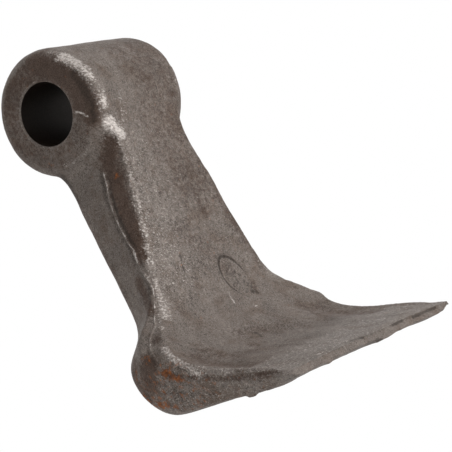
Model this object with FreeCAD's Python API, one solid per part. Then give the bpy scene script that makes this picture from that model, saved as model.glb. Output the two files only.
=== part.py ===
import FreeCAD, Part
import math
import os

# A forged mulcher hammer: an eye that hangs on the rotor's pin, a shank that widens downwards,
# and a foot that sweeps forward into a wide cutting edge. It is one solid piece of steel.
# Millimetres. Origin at the middle of the pin bore, +X along the bore, -Y towards the cutting edge,
# +Z up, as the hammer hangs from its pin.

# Eye
BORE_RADIUS = 10.25
BORE_CHAMFER = 0.6
EYE_RADIUS = 20.6
EYE_WIDTH = 49.6
EYE_RIM_ROUND = 5.0

# Side view
FRONT_LEAN = 10.6
FRONT_OFFSET = 18.1
FRONT_NECK_ROUND = 25.0
BACK_REACH = 11.4
BACK_NECK_ROUND = 3.5
SCOOP_RADIUS = 29.0
BLADE_TOP_SLOPE = 27.9
UNDERSIDE_SLOPE = 12.8
HEEL_RADIUS = 14.0
EDGE_REACH = 46.4
EDGE_DEPTH = 115.5
EDGE_LAND = 3.5

# Half widths, seen from the front
NECK_FRONT = 17.6
NECK_PARTING = 21.5
NECK_BACK = 22.2
SHANK_FRONT = 30.5
SHANK_PARTING = 31.2
SHANK_BACK = 25.8
FOOT_FRONT = 45.2
FOOT_PARTING = 46.8
FOOT_BACK = 43.0
EDGE_HALF_WIDTH = 49.4

# Heights where the shank flares out into the foot, and where it widens again into the eye
FLARE_TOP_FRONT = -71.5
FLARE_TOP_PARTING = -67.0
FLARE_TOP_BACK = -72.0
FLARE_HEIGHT = 17.0
CHEEK_BOTTOM = -24.0
CHEEK_HEIGHT = 16.0
CHEEK_INSET_FRONT = 4.5
CHEEK_INSET = 1.0

# How many sections shape each stretch
NECK_SECTION_COUNT = 3
SHANK_SECTION_COUNT = 6
SCOOP_SECTION_COUNT = 9
BLADE_SECTION_COUNT = 5

# The line where the forging dies met
PARTING_Y = -5.0
PARTING_STEP_LEAST = 1.5
PARTING_STEP_FOOT = 6.5
PARTING_STEP_BLADE = 3.2

# Rounded arrises
FRONT_ROUND = 2.6
BACK_ROUND = 5.5
HEEL_CORNER_ROUND = 11.0
SCOOP_SAG = 0.9

# Oval stamp on the front face, left without lettering
STAMP_LENGTH = 18.0
STAMP_WIDTH = 10.5
STAMP_RIM = 0.9
STAMP_DEPTH = 0.4
STAMP_X = 13.0
STAMP_Z = -71.5
STAMP_TURN = 58.0


def side(y, z):
    """A point or a direction of the side view."""
    return FreeCAD.Vector(0, y, z)


def heading(angle):
    """A direction in the side view, measured from +Y towards +Z."""
    a = math.radians(angle)
    return side(math.cos(a), math.sin(a))


def meet(p, d, q, e):
    """Where the line through p along d crosses the line through q along e, in the side view."""
    gap = q - p
    cross = d.y * e.z - d.z * e.y
    return p + d * ((gap.y * e.z - gap.z * e.y) / cross)


def ease(t):
    t = min(max(t, 0.0), 1.0)
    return t * t * (3 - 2 * t)


def blend(a, b, t):
    return a + (b - a) * ease(t)


# Directions and corners of the side view
forwards = heading(180 + FRONT_LEAN)
front_down = heading(FRONT_LEAN - 90)
blade_out = heading(180 + BLADE_TOP_SLOPE)
under_out = heading(180 + UNDERSIDE_SLOPE)
back_down = side(0, -1)

front_top = forwards * FRONT_OFFSET
edge_top = side(-EDGE_REACH, -EDGE_DEPTH + EDGE_LAND)
edge_bottom = side(-EDGE_REACH, -EDGE_DEPTH)

scoop_corner = meet(front_top, front_down, edge_top, blade_out)
scoop_turn = 90 - BLADE_TOP_SLOPE + FRONT_LEAN
scoop_tangent = SCOOP_RADIUS * math.tan(math.radians(scoop_turn / 2))
scoop_start = scoop_corner - front_down * scoop_tangent
scoop_end = scoop_corner + blade_out * scoop_tangent
scoop_centre = scoop_start + forwards * SCOOP_RADIUS

heel_corner = meet(side(BACK_REACH, 0), back_down, edge_bottom, under_out)
heel_turn = 90 - UNDERSIDE_SLOPE
heel_tangent = HEEL_RADIUS * math.tan(math.radians(heel_turn / 2))
heel_start = heel_corner - back_down * heel_tangent
heel_end = heel_corner + under_out * heel_tangent
heel_middle = heel_start + side(-HEEL_RADIUS, 0) + heading(-heel_turn / 2) * HEEL_RADIUS


def neck_roll(offset, roll):
    """How far below the eye's centre a hollow of radius roll leaves the eye and meets the shank."""
    meets_shank = math.sqrt((EYE_RADIUS + roll) ** 2 - (offset + roll) ** 2)
    leaves_eye = meets_shank * EYE_RADIUS / (EYE_RADIUS + roll)
    return leaves_eye, meets_shank


def neck_offset(offset, roll, down):
    """How far the surface stands from the eye's centre plane, at a distance down from the centre."""
    leaves_eye, meets_shank = neck_roll(offset, roll)
    if down >= meets_shank:
        return offset
    if down >= leaves_eye:
        return offset + roll - math.sqrt(roll ** 2 - (meets_shank - down) ** 2)
    return math.sqrt((EYE_RADIUS - ease(leaves_eye - down)) ** 2 - down ** 2)


def back_point_at(front_point, direction):
    """Where a section's line from the front meets the back, the heel or the underside."""
    far_point = front_point + direction * (EDGE_REACH + EDGE_DEPTH)
    ray = Part.LineSegment(front_point, far_point).toShape()
    crossings = [pair[1] for pair in ray.distToShape(back_profile)[1]]
    return min(crossings, key=lambda point: (point - front_point).Length)


back_leaves_eye, back_meets_shank = neck_roll(BACK_REACH, BACK_NECK_ROUND)
back_neck = [
    side(neck_offset(BACK_REACH, BACK_NECK_ROUND, down), -down)
    for down in (0, back_leaves_eye / 2, back_leaves_eye - 1)
]
back_hollow = [
    side(neck_offset(BACK_REACH, BACK_NECK_ROUND, down), -down)
    for down in (back_leaves_eye, (back_leaves_eye + back_meets_shank) / 2, back_meets_shank)
]
back_profile = Part.Wire(
    Part.makePolygon([side(EYE_RADIUS, EYE_RADIUS)] + back_neck + [back_hollow[0]]).Edges
    + [
        Part.Arc(*back_hollow).toShape(),
        Part.LineSegment(back_hollow[2], heel_start).toShape(),
        Part.Arc(heel_start, heel_middle, heel_end).toShape(),
        Part.LineSegment(heel_end, edge_bottom).toShape(),
    ]
)


def rounded(before, corner, after, radius):
    """The start, the middle and the end of an arc that rounds a corner."""
    to_before = (before - corner).normalize()
    to_after = (after - corner).normalize()
    half_angle = to_before.getAngle(to_after) / 2
    tangent = radius / math.tan(half_angle)
    middle = (to_before + to_after).normalize() * (radius / math.sin(half_angle) - radius)
    return [corner + to_before * tangent, corner + middle, corner + to_after * tangent]


def mirrored(points):
    """The same points on the other side of the hammer, in the opposite order."""
    return [FreeCAD.Vector(-p.x, p.y, p.z) for p in reversed(points)]


def flared(z, neck, shank, foot, flare_top, cheek):
    """A half width at height z: the cheek of the eye, the taper of the shank, the flare of the foot."""
    taper = (CHEEK_BOTTOM - z) / (CHEEK_BOTTOM - flare_top)
    straight = neck + (shank - neck) * max(taper, 0)
    widened = blend(straight, foot, (flare_top - z) / FLARE_HEIGHT)
    return blend(widened, cheek, (z - CHEEK_BOTTOM) / CHEEK_HEIGHT)


def section(front_point, direction, parting_step, front_round, back_round, sag):
    """One six-sided section of the forging with rounded arrises, square to the front face."""
    back_point = back_point_at(front_point, direction)
    thickness = (back_point - front_point).Length
    parting_point = front_point + direction * min(parting_step, thickness / 2)

    out_on_blade = (scoop_end.y - front_point.y) / (scoop_end.y - edge_top.y)
    widening = (EDGE_HALF_WIDTH - FOOT_FRONT) * max(out_on_blade, 0)
    cheek = EYE_WIDTH / 2 - CHEEK_INSET
    cheek_front = EYE_WIDTH / 2 - CHEEK_INSET_FRONT
    front_half = flared(front_point.z, NECK_FRONT, SHANK_FRONT, FOOT_FRONT, FLARE_TOP_FRONT, cheek_front)
    parting_half = flared(parting_point.z, NECK_PARTING, SHANK_PARTING, FOOT_PARTING, FLARE_TOP_PARTING, cheek)
    back_half = flared(back_point.z, NECK_BACK, SHANK_BACK, FOOT_BACK, FLARE_TOP_BACK, cheek)

    front_corner = front_point + FreeCAD.Vector(front_half + widening, 0, 0)
    parting_corner = parting_point + FreeCAD.Vector(parting_half + widening, 0, 0)
    back_corner = back_point + FreeCAD.Vector(back_half + widening, 0, 0)
    front_arc = rounded(front_point, front_corner, parting_corner, min(front_round, thickness / 4))
    back_arc = rounded(parting_corner, back_corner, back_point, min(back_round, thickness / 3))

    front_curve = Part.BezierCurve()
    front_curve.setPoles([mirrored(front_arc)[-1], front_point + direction * (2 * sag), front_arc[0]])
    half = [
        Part.Arc(*front_arc).toShape(),
        Part.LineSegment(front_arc[-1], parting_corner).toShape(),
        Part.LineSegment(parting_corner, back_arc[0]).toShape(),
        Part.Arc(*back_arc).toShape(),
    ]
    other_half = [
        Part.Arc(*mirrored(back_arc)).toShape(),
        Part.LineSegment(*mirrored([parting_corner, back_arc[0]])).toShape(),
        Part.LineSegment(*mirrored([front_arc[-1], parting_corner])).toShape(),
        Part.Arc(*mirrored(front_arc)).toShape(),
    ]
    back_line = Part.LineSegment(back_arc[-1], mirrored(back_arc)[0]).toShape()
    return Part.Wire([front_curve.toShape()] + half + [back_line] + other_half)


def shank_sections(neck_count, shank_count):
    """Sections from inside the eye, through the hollow of the neck, down to the scoop."""
    leaves_eye, meets_shank = neck_roll(FRONT_OFFSET, FRONT_NECK_ROUND)
    length = (scoop_start - front_top).Length
    heights = [leaves_eye * step / 2 for step in range(2)]
    heights += [leaves_eye + (meets_shank - leaves_eye) * step / neck_count for step in range(neck_count)]
    heights += [meets_shank + (length - meets_shank) * step / shank_count for step in range(shank_count)]
    wires = []
    for down in heights:
        outwards = neck_offset(FRONT_OFFSET, FRONT_NECK_ROUND, down)
        front_point = forwards * outwards + front_down * down
        parting_step = max(PARTING_Y - front_point.y, PARTING_STEP_LEAST)
        wires.append(section(front_point, forwards * -1, parting_step, FRONT_ROUND, BACK_ROUND, 0))
    return wires


def scoop_sections(count):
    """Sections that fan round the scoop, from the shank to the blade."""
    wires = []
    for step in range(count):
        t = step / count
        direction = heading(FRONT_LEAN - scoop_turn * t)
        front_point = scoop_centre + direction * SCOOP_RADIUS
        if t < 0.5:
            parting_step = blend(PARTING_STEP_LEAST, PARTING_STEP_FOOT, 2 * t)
            back_round = blend(BACK_ROUND, HEEL_CORNER_ROUND, 2 * t)
        else:
            parting_step = blend(PARTING_STEP_FOOT, PARTING_STEP_BLADE, 2 * t - 1)
            back_round = blend(HEEL_CORNER_ROUND, BACK_ROUND, 2 * t - 1)
        wires.append(section(front_point, direction, parting_step, FRONT_ROUND, back_round, SCOOP_SAG * t))
    return wires


def blade_sections(count):
    """Sections across the blade, which turn upright at the cutting edge."""
    wires = []
    for step in range(count):
        t = step / (count - 1)
        front_point = scoop_end + (edge_top - scoop_end) * t
        direction = heading(BLADE_TOP_SLOPE * (1 - t) - 90)
        parting_step = PARTING_STEP_BLADE + (EDGE_LAND / 2 - PARTING_STEP_BLADE) * t
        wires.append(section(front_point, direction, parting_step, FRONT_ROUND, BACK_ROUND, SCOOP_SAG * (1 - t)))
    return wires


def forging():
    wires = shank_sections(NECK_SECTION_COUNT, SHANK_SECTION_COUNT)
    wires += scoop_sections(SCOOP_SECTION_COUNT) + blade_sections(BLADE_SECTION_COUNT)
    return Part.makeLoft(wires, True, False)


def eye():
    cylinder = Part.makeCylinder(
        EYE_RADIUS, EYE_WIDTH, FreeCAD.Vector(-EYE_WIDTH / 2, 0, 0), FreeCAD.Vector(1, 0, 0)
    )
    rims = [edge for edge in cylinder.Edges if isinstance(edge.Curve, Part.Circle)]
    return cylinder.makeFillet(EYE_RIM_ROUND, rims)


def bore():
    half = EYE_WIDTH / 2
    along = FreeCAD.Vector(1, 0, 0)
    drill = Part.makeCylinder(BORE_RADIUS, EYE_WIDTH, along * -half, along)
    for end in (-1, 1):
        mouth = Part.makeCone(
            BORE_RADIUS + BORE_CHAMFER, BORE_RADIUS, BORE_CHAMFER, along * (end * half), along * -end
        )
        drill = drill.fuse(mouth)
    return drill


def oval(length, width, deep):
    """An oval prism through the front face, its long way turned downwards to the right."""
    ellipse = Part.Ellipse(FreeCAD.Vector(0, 0, 0), length / 2, width / 2)
    prism = Part.Face(Part.Wire(ellipse.toShape())).extrude(FreeCAD.Vector(0, 0, deep))
    prism.translate(FreeCAD.Vector(0, 0, -deep / 2))
    prism.rotate(FreeCAD.Vector(0, 0, 0), FreeCAD.Vector(0, 0, 1), -STAMP_TURN)
    prism.rotate(FreeCAD.Vector(0, 0, 0), FreeCAD.Vector(1, 0, 0), 90 + FRONT_LEAN)
    prism.translate(FreeCAD.Vector(STAMP_X, scoop_start.y, STAMP_Z))
    return prism


def stamp_groove(body):
    """The oval's rim: a shallow groove that follows the front face."""
    deep = BACK_REACH
    ring = oval(STAMP_LENGTH, STAMP_WIDTH, deep).cut(
        oval(STAMP_LENGTH - 2 * STAMP_RIM, STAMP_WIDTH - 2 * STAMP_RIM, deep)
    )
    below = body.copy()
    below.translate(forwards * -STAMP_DEPTH)
    return ring.common(body).cut(below)


os.makedirs("parts", exist_ok=True)
hammer = forging().fuse(eye()).cut(bore()).removeSplitter()
hammer = hammer.cut(stamp_groove(hammer))
hammer.Solids[0].exportStep("parts/hammer_blade.step")
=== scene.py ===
import bmesh
import bpy
import math
import numpy as np
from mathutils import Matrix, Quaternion, Vector, noise


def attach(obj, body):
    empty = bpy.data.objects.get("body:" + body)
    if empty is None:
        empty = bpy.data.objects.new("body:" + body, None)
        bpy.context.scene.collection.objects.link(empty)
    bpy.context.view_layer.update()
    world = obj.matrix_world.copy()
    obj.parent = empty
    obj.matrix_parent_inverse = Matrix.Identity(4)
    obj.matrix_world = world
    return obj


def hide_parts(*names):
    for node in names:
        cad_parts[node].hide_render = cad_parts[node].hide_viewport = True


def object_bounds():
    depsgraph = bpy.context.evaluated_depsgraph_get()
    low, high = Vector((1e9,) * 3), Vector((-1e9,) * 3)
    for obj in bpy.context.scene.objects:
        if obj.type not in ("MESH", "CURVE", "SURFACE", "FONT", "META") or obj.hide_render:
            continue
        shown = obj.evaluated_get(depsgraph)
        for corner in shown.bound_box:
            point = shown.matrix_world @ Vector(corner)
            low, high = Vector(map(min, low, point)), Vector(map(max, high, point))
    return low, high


# A forged mulcher hammer as it hangs from its pin: +X along the pin bore, -Y towards the cutting
# edge, +Z up. The camera, lamps and floor are placed in metres. Places and sizes on the forging
# are in millimetres, and MM turns them into metres.
MM = 0.001

# Pin bore, and how finely the forging's skin is made
BORE_RADIUS = 10.25
BORE_CHAMFER = 0.6
BORE_LAND = 0.15
BORE_SEGMENTS = 128
PLUG_RADIUS = 11.4
PLUG_LENGTH = 48.8
OVERCUT = 2
EYE_WIDTH = 49.6
SKIN_PITCH = 0.80
SAME_PLACE = 0.001
SLIVER = 0.03
CRISP_ANGLE = math.radians(25)
PIT_COUNT = 160
PIT_SEED = 11
PIT_RADII = (0.8, 2.0)
PIT_DEPTH_TO_RADIUS = 0.09

# The camera stands low on the hammer's left and looks slightly up at it
CAMERA_PLACE = Vector((-0.47863, -0.33110, -0.15331))
CAMERA_AIM = Vector((0.01689, -0.00919, -0.05507))
CAMERA_ROLL = math.radians(31.14)
CAMERA_LENS = 146.8
FLOOR_HEIGHT = -0.40
FLOOR_SIZE = 6.0
FLOOR_COLOUR = (0.86, 0.86, 0.85, 1)
FLOOR_GLOW = 0.80

# Square lamps by name, place, size and power: a broad key in front, weak ones behind and above
LAMPS = (
    ("key", Vector((0.18, -1.0, -0.13)), 0.6, 7.4),
    ("back", Vector((-0.86, 0.45, -0.18)), 0.5, 2.0),
    ("top", Vector((0.05, -0.10, 0.95)), 0.5, 2.2),
)
WORLD_LIGHT = 0.26

# Lines round the left end of the eye
EYE_RIM = [(-21.9, -9, 18), (-22.6, -14.7, 13.2), (-23.4, -17.2, 7.1), (-23.2, -19, 1.4),
           (-22.8, -18.9, -5.4), (-22.0, -16.9, -11), (-19.4, -15.3, -15)]
EYE_RIM_WEAR = [(-23.2, -13.2, 14.2), (-22.5, -17.6, 8.8), (-22.0, -19.5, 4.0), (-21.9, -19.9, -1.0),
                (-20.9, -19.6, -6.2), (-20.6, -18.6, -9.2), (-20.2, -17.0, -11.8)]
EYE_RIM_GAP = [(-22.0, -19.9, -1.8), (-21.8, -19.6, -4.0)]
EYE_SCAR = [(-19.9, -15.9, -13.6), (-18.7, -15.5, -15.0), (-17.1, -15.1, -16.7), (-15.6, -15.0, -18.0)]
EYE_RUBBED = [(-12.5, -19.4, -7.0), (-11.5, -17.0, -11.9), (-12.5, -15.7, -15.4)]
EYE_COLLAR = [(-23.8, 7.2, -17.1), (-24.4, 3.1, -17.3), (-24.3, -1.6, -17.6), (-23.8, -6.0, -17.6),
              (-22.7, -9.5, -17.3)]
COLLAR_TO_GROOVE = -3.2
CHEEK_SHADE = [(-23.7, -16.2, 6.6), (-23.7, -17.4, 0.5), (-23.8, -16.9, -5.0), (-23.9, -15.3, -9.8),
               (-23.9, -12.8, -13.4)]
NECK_SHADE = [(-22.0, 9.4, -18.2), (-22.0, 9.0, -22.5), (-22.4, 9.0, -27.5)]

# Lines down the left side of the shank, and the die's parting line from the eye to the foot
SHANK_ARRIS = [(-17.2, -15.6, -16), (-18.4, -13.0, -21), (-19.4, -11.4, -29.5), (-22.6, -9.8, -41.5),
               (-26.2, -7.7, -55.6), (-29.2, -5.6, -65), (-30.9, -4.8, -69)]
BACK_ARRIS = [(-23.6, 16, 13), (-23.8, 19.5, 0), (-23.2, 17, -11), (-19.5, 13.5, -18), (-21.5, 12.3, -40),
              (-27.5, 12, -64), (-37, 12, -77), (-43.5, 11.5, -86), (-43, 11, -96)]
OXIDE_FACET = [(-18.6, -11.9, -19.0), (-20.2, -8.8, -23), (-21.4, -7.9, -30), (-23.4, -7.2, -38),
               (-25.4, -6.8, -46), (-27.2, -6.4, -55)]
PARTING_LINE = [(-21.1, -6.4, -23.1), (-21.8, -5.3, -26.4), (-22.7, -4.8, -30.0), (-23.7, -3.9, -33.7),
                (-24.6, -3.3, -37.9), (-25.6, -3.1, -42.8), (-27.1, -3.9, -49.7), (-28.0, -4.9, -52.8),
                (-28.5, -4.6, -55.4), (-29.1, -4.1, -58.6), (-29.8, -4.9, -62.2), (-29.9, -5.3, -66.0),
                (-32.3, -4.3, -70.9), (-37.2, -4.1, -76.7), (-41.9, -3.6, -80), (-44.4, -3.5, -83.1),
                (-45.7, -4.6, -86.9), (-46.4, -5.4, -90.4)]

# Lines on the left side of the foot, from the shank down to the cutting edge
FOOT_ARRIS = [(-30.4, -5, -67), (-33, -4.7, -73.5), (-36.8, -4.8, -77.3), (-40.5, -5.6, -80.8)]
FOOT_EDGE = [(-28.8, -4.6, -62.5), (-30.0, -4.6, -66.5), (-31.4, -4.0, -69.4), (-33.2, -3.7, -72.4),
             (-35.5, -3.8, -75.4)]
SCUFF = [(-29.2, -5.6, -67.5), (-29.6, -5.4, -70.5), (-31.2, -5.4, -73.5), (-33.4, -5.6, -77.4)]
HEEL_BORDER = [(-44.7, -0.6, -79.9), (-43.4, 4.4, -82.3), (-43.5, 7.6, -85.6), (-44.0, 8.8, -90.4),
               (-43.7, 7.7, -95.3), (-43.2, 4.8, -100.4)]
FOOT_LIP = [(-43.0, -7.0, -83.9), (-44.9, -8.5, -87.6), (-44.7, -11.6, -91.5), (-44.9, -15.4, -95.4),
            (-45, -19.8, -98.4), (-45.6, -24.4, -100.8), (-46.5, -30.6, -103.8), (-46.9, -35.9, -106.4),
            (-47.6, -42.5, -109.8)]
LIP_WEAR = [(-43.9, -7.6, -85.4), (-45.2, -8.8, -88.8), (-45.4, -11.4, -92.6), (-45.6, -15.3, -96.2),
            (-45.8, -19.7, -99.1), (-46.4, -24.4, -101.6), (-47.2, -29.6, -104.0)]
LIP_START = [(-42.4, -7.0, -83.2), (-44.4, -8.2, -86.6), (-45.2, -9.8, -90.0), (-45.4, -12.2, -93.4),
             (-46.0, -14.9, -96.7), (-46.6, -17.6, -99.8)]
FOOT_VALLEY = [(-36.5, -8.5, -87), (-37, -15.2, -94.6), (-38, -24, -100.2), (-38, -33, -105)]
VALLEY_SHADE = [(-31.5, -11.3, -90.9), (-29.8, -14.0, -93.8), (-29.5, -18.0, -96.9), (-22.0, -19.0, -98.1)]
FOOT_SEAM = [(-46.6, -5.8, -91.8), (-46.7, -10, -95.8), (-46.5, -15.6, -98.6), (-46.8, -20.1, -101.5),
             (-47.6, -25.2, -104.2), (-48.4, -30.6, -106.3), (-48.7, -36.3, -108.5), (-49.6, -42.2, -110.5)]
FOOT_STRIP = [(-44.2, -11.7, -104.6), (-44.2, -16.7, -106.1), (-44.9, -21.8, -107.5), (-46.0, -27.8, -109.1),
              (-46.9, -33.4, -110.5), (-47.7, -38.2, -111.9), (-49.2, -43.4, -113.7)]

# Forms on the right only, and marks on the land of the cutting edge
TOP_BUMP = [(38, -6.5, -80), (42.7, -7.5, -84.2), (44.3, -9, -87.5)]
NECK_CORNER = [(17.7, -14.1, -16), (18.6, -12.5, -29.3), (21.6, -10.6, -39.4), (24.6, -9, -50)]
LAND_DASHES = ([(11.2, -46.4, -112.3), (17.8, -46.4, -112.3)], [(24.4, -46.4, -112.7), (40.4, -46.4, -112.8)],
               [(-13.3, -45.2, -111.2), (-7.5, -46.2, -112)], [(-2.4, -46.4, -114.8), (1.2, -46.4, -114.8)])
LAND_TOP = [(-47, -46.4, -112), (-30, -46.4, -111.9), (-10, -46.4, -112.1), (10, -46.4, -112.3),
            (28, -46.4, -112.3), (46, -46.4, -112.4)]

# Jags in the edge's lower line by place, width to the left and right, and depth
EDGE_JAGS = ((-0.5, 1.2, 13.0, -1.5), (-12, 3.0, 3.0, 0.3), (24, 4.0, 4.0, 0.2), (-30, 2.0, 4.0, -0.5))
EDGE_LINE = -115.2
WORN_CORNER_START = 39

# Bits of flash under the foot by place, size and how far they stand out
FLASHES = (((-43.2, -25.4, -110.9), 1.7, 0.8), ((-45.2, -32.8, -112), 1.3, 0.45))

# The oval stamp on the front of the shank, left without lettering
STAMP_CENTRE_X = 12.8
STAMP_CENTRE_Z = -71.5
STAMP_HALF_LENGTH = 8.8
STAMP_HALF_WIDTH = 5.6
STAMP_TURN = math.radians(56)
OFF_STAMP = 9

# Worn lines, which also paint highlights along the eye's rim and the foot's lip, by path, amount,
# and radius at start and end. The right side has less of them.
WORN_AND_HIGHLIT_LINES = (
    (EYE_RIM, 0.50, 2.2, 1.8), (EYE_RIM_WEAR, 0.84, 4.6, 3.2), (LIP_WEAR, 0.42, 4.2, 2.2),
    (LIP_START, 0.66, 2.2, 3.6), (FOOT_LIP, 0.46, 1.5, 1.2),
)
WEAR_AND_HIGHLIGHT_ON_RIGHT = 0.40

# Small bright scratches by path, amount and radius
SCRATCHES = (
    ([(4.2, -5.2, -75.5), (3.4, -5.8, -79.4)], 0.85, 0.8),
    ([(-24.8, -10.3, -5.7), (-24.8, -12.1, -7.1), (-24.8, -13.2, -9.5)], 0.85, 0.7),
    ([(-46.7, -41.8, -109.5), (-46.0, -43, -110)], 0.85, 1.1),
    ([(-30.8, -44.2, -110.7), (-30, -44.6, -111)], 0.85, 0.9),
    ([(10.9, -6.6, -82.4), (12.2, -6.9, -83)], 0.85, 0.8),
    ([(-28.0, -4.5, -53.0), (-28.7, -4.2, -56.2)], 0.85, 1.1),
)

# Patches of dark oxide by path, amount and radius. The right side has less of them.
OXIDE_PATCHES = (
    ([(-24.8, -6, 15), (-24.8, -12.5, 8), (-24.8, -15.5, 0), (-24.2, -14.6, -9)], 1.05, 8.6),
    ([(-41.4, -5.0, -80.4), (-42.4, -5.6, -82.4)], 0.60, 3.8),
    ([(-45.9, -1.4, -87.2), (-46.0, 0.9, -88.8), (-45.3, 2.6, -91.8)], 1.0, 6.6),
    ([(-28.7, -0.9, -61.6), (-29.5, -0.9, -65.5), (-31.0, -1.5, -68.6), (-34.6, -3.2, -72.0)], 0.80, 4.4),
    ([(-48.6, -33.5, -107.3), (-48.7, -38.3, -109.2), (-49.3, -43.5, -110.6)], 0.8, 2.6),
)
OXIDE_ON_RIGHT = 0.6

# Blotches of oxide on the front's right half by path, amount and radius
OXIDE_BLOTCHES = (
    ([(14, -18.7, -8.7), (17.5, -17.8, -9.5)], 0.66, 4.5),
    ([(13.1, -13.3, -27.6), (14.6, -11.3, -38.2), (18.3, -9.9, -45.7)], 0.48, 6.0),
    ([(19.0, -5.4, -75.0), (18.4, -5.6, -78.6)], 0.55, 3.0),
    ([(9.5, -11.0, -40.0), (10.2, -9.6, -48.0)], 0.56, 7.0),
)
# A line over the front's middle along which shade is painted
FRONT_SHADE = [(-6, -8.6, -52), (2, -7.2, -60), (10, -6.2, -67)]

# Spots of rust by place, size and amount
RUST_SPOTS = (
    ((-46.7, -5.4, -91.7), 3.0, 1.05), ((-46.8, -6.4, -93.6), 2.6, 0.85), ((-46.7, -8.6, -95.4), 2.8, 0.80),
    ((-44.0, 3.9, -98.0), 2.8, 0.75), ((-44.3, 1.3, -99.6), 2.6, 0.72), ((-44.0, -0.8, -101.6), 2.2, 0.62),
    ((-44.1, -10.0, -104.4), 2.6, 0.6), ((-46.7, -1.5, -85.8), 3.0, 0.5), ((-44.2, 5.9, -86.5), 3.0, 0.4),
    ((-42.9, 8.8, -93.5), 4.5, 0.55), ((-43.3, 5.4, -98.5), 3.6, 0.6), ((-20.9, -8.6, -29.4), 2.6, 0.42),
    ((44.5, 2, -97), 4.5, 0.7), ((43, 6, -90), 3.0, 0.5), ((20, 12, -96), 4.0, 0.45),
    ((-12, 11, -60), 3.0, 0.35), ((-24.8, 9, -14), 2.4, 0.35), ((24.8, -12, -8), 3.0, 0.4),
    ((-11.2, -7.4, -58.9), 1.5, 0.55), ((-12.2, -6.8, -62.2), 1.7, 0.55),
)

# Specks of grime by path, amount and radius
GRIME_SPECKS = (
    ([(16.2, -5.2, -77.6), (17.8, -5.2, -78.4)], 0.75, 2.2),
    ([(-11.4, -7.3, -59.2), (-11.8, -6.9, -61.4)], 0.75, 1.3),
    ([(-12.3, -6.7, -62.6), (-12.6, -6.6, -64.4)], 0.75, 1.2),
    ([(8.2, -19.6, -6.2), (8.6, -19.5, -7.0)], 0.75, 1.2),
    ([(-3.7, -11.4, -91.6), (-4.7, -13.6, -94)], 0.75, 1.3),
    ([(1.2, -14.4, -94.8), (2.4, -15, -95.2)], 0.75, 1.2),
    ([(-10.1, -16, -96.2), (-9, -16.6, -96.6)], 0.75, 1.2),
    ([(-5, -20.3, -99.1), (-4, -20.8, -99.4)], 0.75, 1.2),
    ([(-45.5, -9.2, -91.6), (-45.8, -12, -94.8)], 0.75, 0.9),
)

# Rippled scale on the blade by path, amount and radius
RIPPLES = (
    ([(-8, -10.5, -90.2), (1, -11.5, -91.6), (9, -13, -93.4), (15, -14.5, -95)], 0.50, 10.5),
    ([(-14.2, -16.3, -96.4), (-13.2, -24.8, -101.3), (-13.7, -33, -105.4)], 0.5, 5),
)

# Flecks that break up a painted amount: size, stretch, how much they break it up, and softness
WORN_AND_HIGHLIT_FLECKS = (0.6, 1.9, 2.5, 0.20)
OXIDE_AND_SHADE_FLECKS = (1.3, 1.4, 1.6, 0.32)
RUST_FLECKS = (1.6, 1.0, 2.2, 0.26)
GRIME_AND_SHADE_FLECKS = (1.3, 1.0, 1.1, 0.25)
RIPPLE_FLECKS = (0.6, 2.2, 2.8, 0.18)

# The ways that scratches on the arrises and ripples on the blade run
SCRATCHES_ALONG = (0.93, 0.0, -0.37)
RIPPLES_ALONG = (0.94, 0.26, 0.21)

# Colours as the eye reads them, red, green and blue from 0 to 255, the darker one of a pair first
MILL_SCALE = ((34, 27, 23), (158, 147, 139))
BROWN_TINT = (88, 69, 55)
DARK_SPECK = (50, 41, 35)
GLINT = (184, 174, 166)
RIPPLE_BROWN = (66, 51, 42)
# Dark oxide, also used for painted shade
DARK_OXIDE_AND_SHADE = ((32, 21, 16), (94, 73, 61))
# Rubbed and bare steel, also used for painted highlights and painted light
RUBBED_STEEL_AND_HIGHLIGHT = (146, 137, 130)
BARE_STEEL_AND_HIGHLIGHT = ((118, 109, 103), (220, 212, 206))
RUST = ((76, 46, 30), (168, 98, 48))
# Grime, also used for painted shade and shadow
GRIME_AND_SHADE = (44, 37, 32)
BORED_STEEL = ((22, 16, 12), (52, 41, 33))


def only(piece):
    """Selects one object and nothing else."""
    if bpy.context.object and bpy.context.object.mode != "OBJECT":
        bpy.ops.object.mode_set(mode="OBJECT")
    bpy.ops.object.select_all(action="DESELECT")
    piece.select_set(True)
    bpy.context.view_layer.objects.active = piece


def finish_with(piece, kind, **settings):
    """Adds a modifier, sets it and applies it."""
    only(piece)
    bpy.ops.object.modifier_add(type=kind)
    modifier = piece.modifiers[-1]
    for name, value in settings.items():
        setattr(modifier, name, value)
    bpy.ops.object.modifier_apply(modifier=modifier.name)


def bar_along_bore(name, left_radius, right_radius, left, right):
    """A round bar or cone along the pin bore, between two places on the X axis."""
    bpy.ops.object.select_all(action="DESELECT")
    bpy.ops.mesh.primitive_cone_add(
        vertices=BORE_SEGMENTS, radius1=left_radius * MM, radius2=right_radius * MM,
        depth=(right - left) * MM, location=((left + right) / 2 * MM, 0, 0), rotation=(0, math.pi / 2, 0),
    )
    bar = bpy.context.object
    bar.name = name
    bpy.ops.object.transform_apply(location=True, rotation=True, scale=True)
    return bar


def combine(piece, other, operation):
    finish_with(piece, "BOOLEAN", operation=operation, object=other, solver="EXACT")
    bpy.data.objects.remove(other)


def skin(piece):
    """The places of the mesh's points in millimetres, and the way they face."""
    count = len(piece.data.vertices)
    places = np.zeros(count * 3, np.float32)
    piece.data.vertices.foreach_get("co", places)
    facing = np.zeros(count * 3, np.float32)
    piece.data.vertex_normals.foreach_get("vector", facing)
    return places.reshape(-1, 3).astype(float) / MM, facing.reshape(-1, 3).astype(float)


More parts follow.
